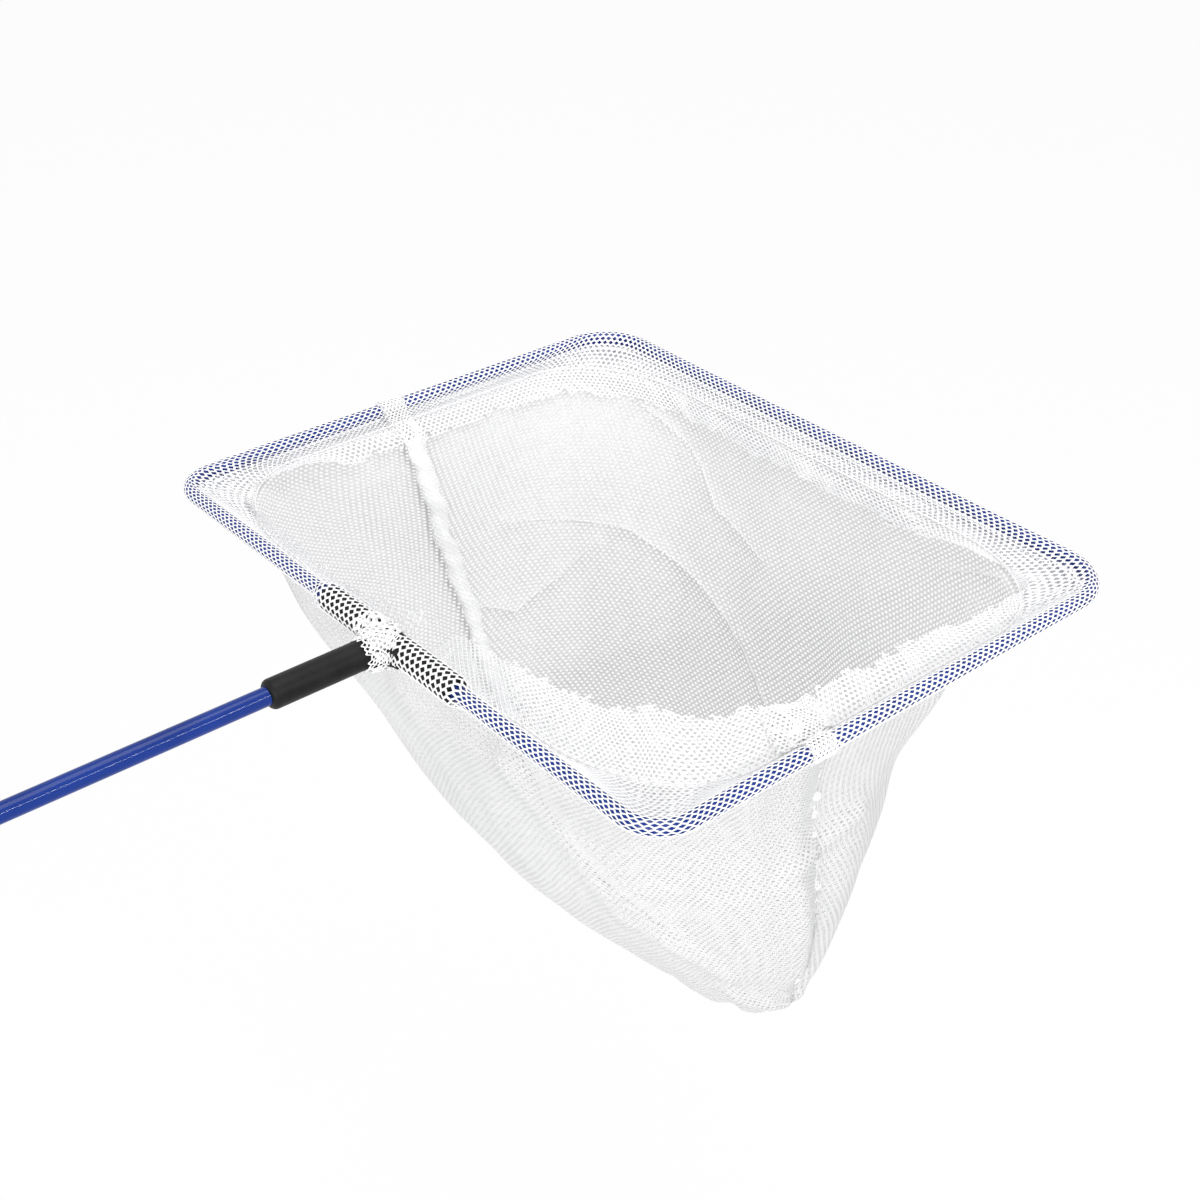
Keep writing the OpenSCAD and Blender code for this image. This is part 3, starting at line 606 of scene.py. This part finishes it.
def hem_cloth(angles, extra_lift=0.0):
    """The cloth from the panel's top edge round the wire to the cut edge, and v at the stitches"""
    top = layer_point(angles, 0.0*angles)
    foot, into = wire_foot(top[:, :2])
    r = wire_net_r(foot) + extra_lift

    def section(p, z):
        return np.concatenate([foot + p[:, None]*into, z[:, None]], 1)

    def in_section(point):
        return ((point[:, :2] - foot)*into).sum(1), point[:, 2]

    rows = [layer_point(angles, 0*angles + level) for level in (0.5, 0.25, 0.0)]
    start_angle = tangent_angle(*in_section(top), r, -1)
    stitch = layer_point(angles, level_of(STITCH_DEPTH) + 0*angles, STITCH_INSET)
    end_angle = tangent_angle(*in_section(stitch), r, 1) - 2*np.pi
    for share in np.linspace(0, 1, ARC_STEPS):
        turn = start_angle + (end_angle - start_angle)*share
        rows.append(section(r*np.cos(turn), r*np.sin(turn)))
    leaves = rows[-1]
    for share in np.linspace(0, 1, WEB_STEPS)[1:]:
        sag = WEB_SAG*math.sin(math.pi*share)
        rows.append(leaves + (stitch - leaves)*share - np.array([0, 0, sag]))
    stitch_row = len(rows) - 1
    level_part = level_share(angles)[:, None]
    edge = flange_point(angles)
    edge[:, 2] += 1.2*np.sin(np.radians(angles)*13) + 0.8*np.sin(np.radians(angles)*29)
    for share in np.linspace(0, 1, BAND_STEPS)[1:]:
        depth = STITCH_DEPTH + (HEM_DEPTH - STITCH_DEPTH)*share
        inset = STITCH_INSET + BAND_INSET*smooth(share, 0, 0.7) + 0.5*share*np.sin(np.radians(angles)*31)
        hanging = layer_point(angles, level_of(depth), inset)
        level = stitch + (edge - stitch)*share
        rows.append(hanging*(1 - level_part) + level*level_part)
    points = np.stack(rows)
    along = np.concatenate([[0], np.cumsum(np.linalg.norm(np.diff(foot, axis=0), axis=1))])
    cloth = Cloth(points, along - along[len(along)//2], path_lengths(points, 0).mean(1))
    return cloth, cloth.v[stitch_row]


def frayed(cloth, depth):
    """Leaves out cells near the cut edge, some at random and some in long waves"""
    end = cloth.v[-1]

    def kept(u, v):
        wave = 0.5 + 0.3*np.sin(u/7.0) + 0.2*np.sin(u/2.9 + 1)
        return v < end - depth*(0.6*wave + 0.6*random.random(v.shape)**1.5)
    return kept


def crumpled(cloth, height, length, seed):
    """The cloth pushed along its normal by a few waves that run in different directions"""
    draw = np.random.default_rng(seed)
    push = np.zeros(cloth.u.shape)
    for _ in range(5):
        turn, phase, span = draw.uniform(0, np.pi), draw.uniform(0, 2*np.pi), length*draw.uniform(0.7, 1.5)
        push += np.sin(2*np.pi*(cloth.u*np.cos(turn) + cloth.v[:, None]*np.sin(turn))/span + phase)
    return Cloth(cloth.table[..., :3] + 0.5*height*push[..., None]*cloth.table[..., 3:], cloth.u, cloth.v)


# How deep the cut edges are frayed
HEM_FRAY, TUFT_FRAY, GATHER_FRAY = 3.5, 3.0, 2.0
FAR_HEM_THREAD = 0.64


def hem_piece(name, first, last, nodes, wire_thread=THREAD):
    cloth, stitch_v = hem_cloth(np.arange(first, last + 0.25, 0.5))
    on_wire = netting(cloth, cloth.v[1], stitch_v, wale=HEM_WALE, course=HEM_COURSE, thread=wire_thread)
    band = netting(cloth, stitch_v, cloth.v[-1], wale=HEM_WALE, course=HEM_COURSE, thread=BAND_THREAD,
                   rise=PANEL_RISE, keep=frayed(cloth, HEM_FRAY))
    net_piece(name, [on_wire, band], HEM_WHITE, nodes)


def handle_side_angle(y):
    """The angle round the bag of a place on the handle's side"""
    return 180 - math.degrees(math.atan((y - HOOP_OFFSET)/MOUTH_HALF_Y))


hem_piece("hem_net_handle_left", 90.5, handle_side_angle(SLIT), ["hem_handle_left"])
hem_piece("hem_net_handle_right", handle_side_angle(-SLIT), 269.5, ["hem_handle_right"])
hem_piece("hem_net_far", -89.5, 89.5, ["hem_far"], wire_thread=FAR_HEM_THREAD)

# The seams: a solid core inside a tube of netting, thick at the mouth and thin at the bottom
SEAM_CORE_SHARE = 0.95
SEAM_STEPS = 260
SEAM_SIDES = 20
SEAM_R, SEAM_TAIL_R = 2.7, 1.3


def seam_tube(angle, share, seed):
    """Rings of points of the gathered roll along the seam, at a share of its full thickness"""
    draw = np.random.default_rng(seed)
    first, last = float(level_of(PATCH_DEPTH - 4)), LAST_ROW - 0.6
    levels = first + (last - first)*np.linspace(0, 1, SEAM_STEPS)
    base = layer_point(angle, levels)
    normal = inward(np.full(SEAM_STEPS, float(angle)), levels)
    along = unit(np.gradient(base, axis=0))
    across = unit(np.cross(along, normal))
    travel = path_lengths(base, 0)
    size = SEAM_R + (SEAM_TAIL_R - SEAM_R)*smooth(levels, first, last)
    waves = [(draw.uniform(7, 26), draw.uniform(0, 2*np.pi), draw.integers(1, 4)) for _ in range(7)]
    turns = np.linspace(0, 2*np.pi, SEAM_SIDES + 1)
    wobble = sum(np.sin(2*np.pi*travel[:, None]/length + phase + fold*turns[None, :])
                 for length, phase, fold in waves)/len(waves)
    wander = 0.5*np.sin(travel/9 + seed) + 0.3*np.sin(travel/4.1 + 2*seed)
    radius = size[:, None]*share*(1 + 0.55*wobble)
    centre = base + normal*(0.7 + size)[:, None] + across*wander[:, None]
    points = (centre[:, None, :] + 0.82*radius[..., None]*np.cos(turns)[None, :, None]*normal[:, None, :]
              + 1.4*radius[..., None]*np.sin(turns)[None, :, None]*across[:, None, :])
    return points


def tube_faces(rows, cols):
    index = np.arange(rows*cols).reshape(rows, cols)
    near, far = index[:-1], index[1:]
    return np.stack([near, np.roll(near, -1, 1), np.roll(far, -1, 1), far], -1).reshape(-1, 4)


def solid_tube(name, points, material, nodes):
    """A closed tube from rings of points whose last point repeats the first"""
    rings = points[:, :-1]
    rows, cols = rings.shape[:2]
    ends = np.stack([rings[0].mean(0), rings[-1].mean(0)])
    around = np.arange(cols)
    next_round, last_ring = np.roll(around, -1), (rows - 1)*cols
    caps = np.concatenate([
        np.stack([np.full(cols, rows*cols), next_round, around], 1),
        np.stack([np.full(cols, rows*cols + 1), last_ring + around, last_ring + next_round], 1)])
    piece = mesh_piece(name, np.concatenate([rings.reshape(-1, 3), ends]), tube_faces(rows, cols), caps,
                       material)
    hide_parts(*nodes)
    return piece


def seam_pieces(side, angle, seed):
    node = f"side_seam_{side}"
    core_points = seam_tube(angle, SEAM_CORE_SHARE, seed)
    core = solid_tube(f"seam_core_{side}", core_points, SEWING_AND_HIGHLIGHT_WHITE, [node])
    points = seam_tube(angle, 1.0, seed)
    cloth = Cloth(points, path_lengths(points, 1), path_lengths(points, 0).mean(1))
    layer = netting(cloth, 0, cloth.v[-1], wale=1.7, course=1.2, thread=0.5)
    net_piece(f"seam_net_{side}", [layer], SEWING_AND_HIGHLIGHT_WHITE, [node])


seam_pieces("left", 90, 3)
seam_pieces("right", 270, 8)

# Overlaps of the hems at the seams
LAYER_LIFT = 0.4
LAYER_WALE, LAYER_COURSE = 1.7, 1.15
WRAP_LAYERS, TUFT_LAYERS = 2, 3
OVER_HEM = 0.3


def overlap_pieces(side, wire_angles, tuft_angles):
    """Doubled hem round the wire, and the crumpled ends of both hems on the allowance"""
    wrap, stitch_v = hem_cloth(np.arange(*wire_angles, 0.25), extra_lift=OVER_HEM)
    layers = [netting(wrap, wrap.v[1], stitch_v, wale=LAYER_WALE, course=LAYER_COURSE, lift=k*LAYER_LIFT,
                      shift=(k*0.8, k*0.5)) for k in range(WRAP_LAYERS)]
    for k in range(TUFT_LAYERS):
        narrowed = np.arange(tuft_angles[0] + 0.4*k, tuft_angles[1] - 0.7*k, 0.25)
        flat, stitch_v = hem_cloth(narrowed, extra_lift=OVER_HEM)
        tuft = crumpled(flat, 0.35 + 0.15*k, 7.0, 11 + k)
        layers.append(netting(tuft, stitch_v - 1.5, tuft.v[-1] - 0.8*k, wale=LAYER_WALE, course=LAYER_COURSE,
                              thread=0.7, rise=0.14, lift=LAYER_LIFT*(k + 1), shift=(k*0.7, k*0.4),
                              keep=frayed(tuft, TUFT_FRAY)))
    net_piece(f"overlap_net_{side}", layers, SEWING_AND_HIGHLIGHT_WHITE, [f"hem_overlap_{side}"])


overlap_pieces("left", (86.8, 93.3), (86, 94))
overlap_pieces("right", (265.8, 272.4), (254.5, 273.5))

# Net gathered round the stem and bunched on the crossbar: its reach there, how much more it reaches on one
# side, and the turn of that side in degrees
GATHER_END = 11.4
STEM_NET_R = STEM_R + 0.3
BUNCH_R = ARM_NET_R + 0.35
BUNCH_REACH, BUNCH_MORE, BUNCH_TURN = 8.0, 6.0, 35
FILLET = 3.0
GATHER_LAYERS = 3


def gather_cloth(lift, height, seed):
    """From the net's end on the stem along it, then out over the crossbar, as turns round the stem"""
    draw = np.random.default_rng(seed)
    places = np.radians(np.arange(-180, 180.1, 4))
    turns = -places
    across, up = np.sin(turns), np.cos(turns)
    stem_r, bar_r = STEM_NET_R + lift, BUNCH_R + lift
    rows = []
    for x in np.linspace(GATHER_END, bar_r + 0.5*FILLET, 8):
        end = x + (0.7*np.sin(5*turns + seed) + 0.5*np.sin(11*turns))*(x - bar_r)/(GATHER_END - bar_r)
        flare = stem_r + 0.8*smooth(x, bar_r + FILLET, bar_r)
        rows.append(np.stack([REACH - end, flare*across, flare*up], 1))
    reach = BUNCH_REACH + BUNCH_MORE*np.maximum(0, np.cos(turns - math.radians(BUNCH_TURN)))**1.5
    for share in np.linspace(0, 1, 16)[1:]:
        out = stem_r + 0.5*FILLET + (reach - stem_r)*share
        arc = out*up/bar_r
        rows.append(np.stack([REACH - bar_r*np.cos(arc), out*across, bar_r*np.sin(arc)], 1))
    points = np.stack(rows)
    steps = path_lengths(points, 0).mean(1)
    mean_r = 0.5*(stem_r + BUNCH_REACH)
    cloth = Cloth(points, places*mean_r, steps)
    folds = sum(np.sin(draw.integers(5, 14)*turns + draw.uniform(0, 6)) for _ in range(3))
    pleats = height*folds[None, :]*smooth(steps, 3, 8)[:, None]
    pleated = Cloth(points + pleats[..., None]*cloth.table[..., 3:], places*mean_r, steps)
    return crumpled(pleated, height, 6.0, seed)


def gather_piece():
    layers = []
    for k in range(GATHER_LAYERS):
        cloth = gather_cloth(LAYER_LIFT*k, 0.25 + 0.1*k, 5 + k)
        layers.append(netting(cloth, 1.0*k, cloth.v[-1] - 1.5*k, wale=1.9, course=1.3, shift=(k*0.8, k*0.5),
                              keep=frayed(cloth, GATHER_FRAY)))
    net_piece("gather_net", layers, SEWING_AND_HIGHLIGHT_WHITE, ["hem_gather"])


gather_piece()

# The stitching: two rows of separate stitches
STITCH_LENGTH, STITCH_SPACE = 2.9, 3.3
STITCH_R = 0.36
FIRST_ROW_INSET, STITCH_ROW_GAP = 0.2, 0.75


def row_of_stitches(inset, first):
    """One row of stitches at a distance in from the seam, as points, quads and triangles"""
    angles = np.arange(0, 360, 0.25)
    line = layer_point(angles, level_of(STITCH_DEPTH) + 0*angles, STITCH_INSET + inset)
    line = np.concatenate([line, line[:1]])
    travel = path_lengths(line, 0)
    stations = np.linspace(0, 1, 7)
    turns = np.radians(np.arange(0, 360, 60))
    up = np.array([0.0, 0.0, 1.0])
    hump = np.sin(np.pi*stations)
    points, quads, triangles, start = [], [], [], 0
    for begin in np.arange(first, travel[-1] - STITCH_LENGTH, STITCH_SPACE):
        places = begin + STITCH_LENGTH*stations
        centre = np.stack([np.interp(places, travel, line[:, i]) for i in range(3)], 1)
        centre = centre + up*(0.35*hump - 0.1)[:, None]
        side = unit(np.cross(np.gradient(centre, axis=0), up))
        radius = STITCH_R*(0.55 + 0.45*hump)
        ring = (centre[:, None] + radius[:, None, None]*(np.cos(turns)[None, :, None]*up
                                                         + np.sin(turns)[None, :, None]*side[:, None]))
        rows, cols = ring.shape[:2]
        points.append(ring.reshape(-1, 3))
        quads.append(tube_faces(rows, cols) + start)
        for row, order in ((0, -1), (rows - 1, 1)):
            fan = [(row*cols, row*cols + k, row*cols + k + 1) for k in range(1, cols - 1)]
            triangles.append(np.array(fan)[:, ::order] + start)
        start += rows*cols
    return np.concatenate(points), np.concatenate(quads), np.concatenate(triangles)


def stitching():
    outer = row_of_stitches(FIRST_ROW_INSET, 0.0)
    inner = row_of_stitches(FIRST_ROW_INSET + STITCH_ROW_GAP, 0.5*STITCH_SPACE)
    points = np.concatenate([outer[0], inner[0]])
    quads, triangles = (np.concatenate([outer[i], inner[i] + len(outer[0])]) for i in (1, 2))
    piece = mesh_piece("stitching", points, quads, triangles, SEWING_AND_HIGHLIGHT_WHITE)
    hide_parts("hem_thread")


stitching()

# Floor, light and world
FLOOR_SIZE, FLOOR_X, FLOOR_Z = 30, 0.3, -0.36
FLOOR_SEEN_WHITE = 0.93


def seen_rays(tree):
    """1 where a ray comes from the camera, a reflection or a transmission, and 0 elsewhere"""
    path = tree.nodes.new("ShaderNodeLightPath")
    seen = path.outputs["Is Camera Ray"]
    for other in ("Is Glossy Ray", "Is Transmission Ray"):
        more = tree.nodes.new("ShaderNodeMath")
        more.operation = "MAXIMUM"
        tree.links.new(seen, more.inputs[0])
        tree.links.new(path.outputs[other], more.inputs[1])
        seen = more.outputs["Value"]
    return seen


def seen_white(tree, shader_output, share):
    """Mixes a share of plain white into what the camera and the reflections see, so that the shadow stays"""
    glow = tree.nodes.new("ShaderNodeEmission")
    glow.inputs["Color"].default_value = (1, 1, 1, 1)
    part = tree.nodes.new("ShaderNodeMath")
    part.operation = "MULTIPLY"
    part.inputs[1].default_value = share
    tree.links.new(seen_rays(tree), part.inputs[0])
    mix = tree.nodes.new("ShaderNodeMixShader")
    tree.links.new(part.outputs["Value"], mix.inputs["Fac"])
    tree.links.new(shader_output, mix.inputs[1])
    tree.links.new(glow.outputs["Emission"], mix.inputs[2])
    return mix.outputs["Shader"]


def make_floor():
    material, tree, shader = node_material("floor")
    shader.inputs["Base Color"].default_value = (0.97, 0.97, 0.97, 1)
    shader.inputs["Roughness"].default_value = 0.9
    shader.inputs["Specular IOR Level"].default_value = 0.0
    output = tree.nodes["Material Output"]
    tree.links.new(seen_white(tree, shader.outputs["BSDF"], FLOOR_SEEN_WHITE), output.inputs["Surface"])
    bpy.ops.mesh.primitive_plane_add(size=FLOOR_SIZE, location=(FLOOR_X, 0, FLOOR_Z))
    floor = bpy.context.object
    floor.name = "floor"
    floor.data.materials.append(material)


WORLD_LIGHT = 0.59


def make_world():
    world = bpy.data.worlds.new("world")
    bpy.context.scene.world = world
    world.use_nodes = True
    tree = world.node_tree
    background = tree.nodes["Background"]
    strength = tree.nodes.new("ShaderNodeMapRange")
    strength.inputs["To Min"].default_value = WORLD_LIGHT
    strength.inputs["To Max"].default_value = 1.0
    tree.links.new(seen_rays(tree), strength.inputs["Value"])
    background.inputs["Color"].default_value = (1, 1, 1, 1)
    tree.links.new(strength.outputs["Result"], background.inputs["Strength"])


def area_light(name, place, target, size, power):
    data = bpy.data.lights.new(name, "AREA")
    data.shape = "RECTANGLE"
    data.size, data.size_y = size
    data.energy = power
    lamp = bpy.data.objects.new(name, data)
    bpy.context.collection.objects.link(lamp)
    lamp.location = place
    lamp.rotation_euler = (Vector(target) - Vector(place)).to_track_quat("-Z", "Y").to_euler()


NET_MIDDLE = (0.33, 0.0, -0.08)
make_floor()
make_world()
area_light("key", (0.4, -0.1, 1.4), NET_MIDDLE, (1.2, 0.8), 9.2)
area_light("front", (-0.75, -0.7, 0.3), NET_MIDDLE, (1.0, 0.5), 7.8)
area_light("strip", (0.52, -1.0, 0.55), NET_MIDDLE, (0.5, 0.03), 3)

bpy.context.scene.view_settings.view_transform = "Standard"
